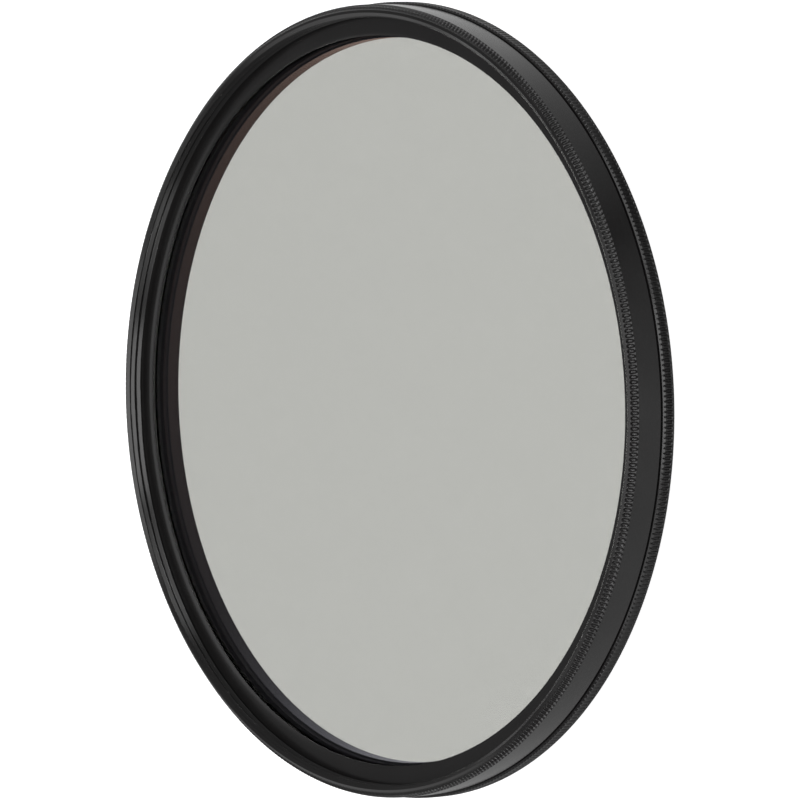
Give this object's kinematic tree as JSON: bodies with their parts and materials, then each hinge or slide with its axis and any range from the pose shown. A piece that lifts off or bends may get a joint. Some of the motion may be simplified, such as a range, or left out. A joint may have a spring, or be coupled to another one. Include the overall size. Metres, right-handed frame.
{
  "type": "screw-in polarising lens filter",
  "caption": "Round screw-in polarising lens filter: grey laminated glass in a knurled black front ring that turns on a knurled rear ring with a male lens thread.",
  "frame": {"origin": "centre of the rear thread's end face, on the lens axis, where the filter rests", "axes": "+Z along the lens axis, from the rear thread to the front rim; X and Y are free, because the part is round"},
  "size_m": [0.0794, 0.0794, 0.0064],
  "materials": {
    "black_anodised_front": "satin black anodised, turned and knurled",
    "black_anodised_rear": "satin black anodised, turned and knurled",
    "black_anodised_inner": "satin black anodised",
    "spring_wire": "drawn spring wire",
    "front_coated_glass": "polished, anti-reflection coated",
    "polarising_film": "clear grey film",
    "retarder_film": "clear film",
    "rear_coated_glass": "polished, anti-reflection coated"
  },
  "bodies": {
    "rear": {"rear_ring": "black_anodised_rear", "snap_ring": "spring_wire"},
    "front": {"front_ring": "black_anodised_front", "front_glass": "front_coated_glass", "polarising_film": "polarising_film", "quarter_wave_film": "retarder_film", "rear_glass": "rear_coated_glass", "retaining_ring": "black_anodised_inner"}
  },
  "joints": [
    {"name": "front_turn", "type": "hinge", "parent": "rear", "child": "front", "pos_m": [0, 0, 0.002], "axis": [0, 0, 1], "continuous": true}
  ]
}
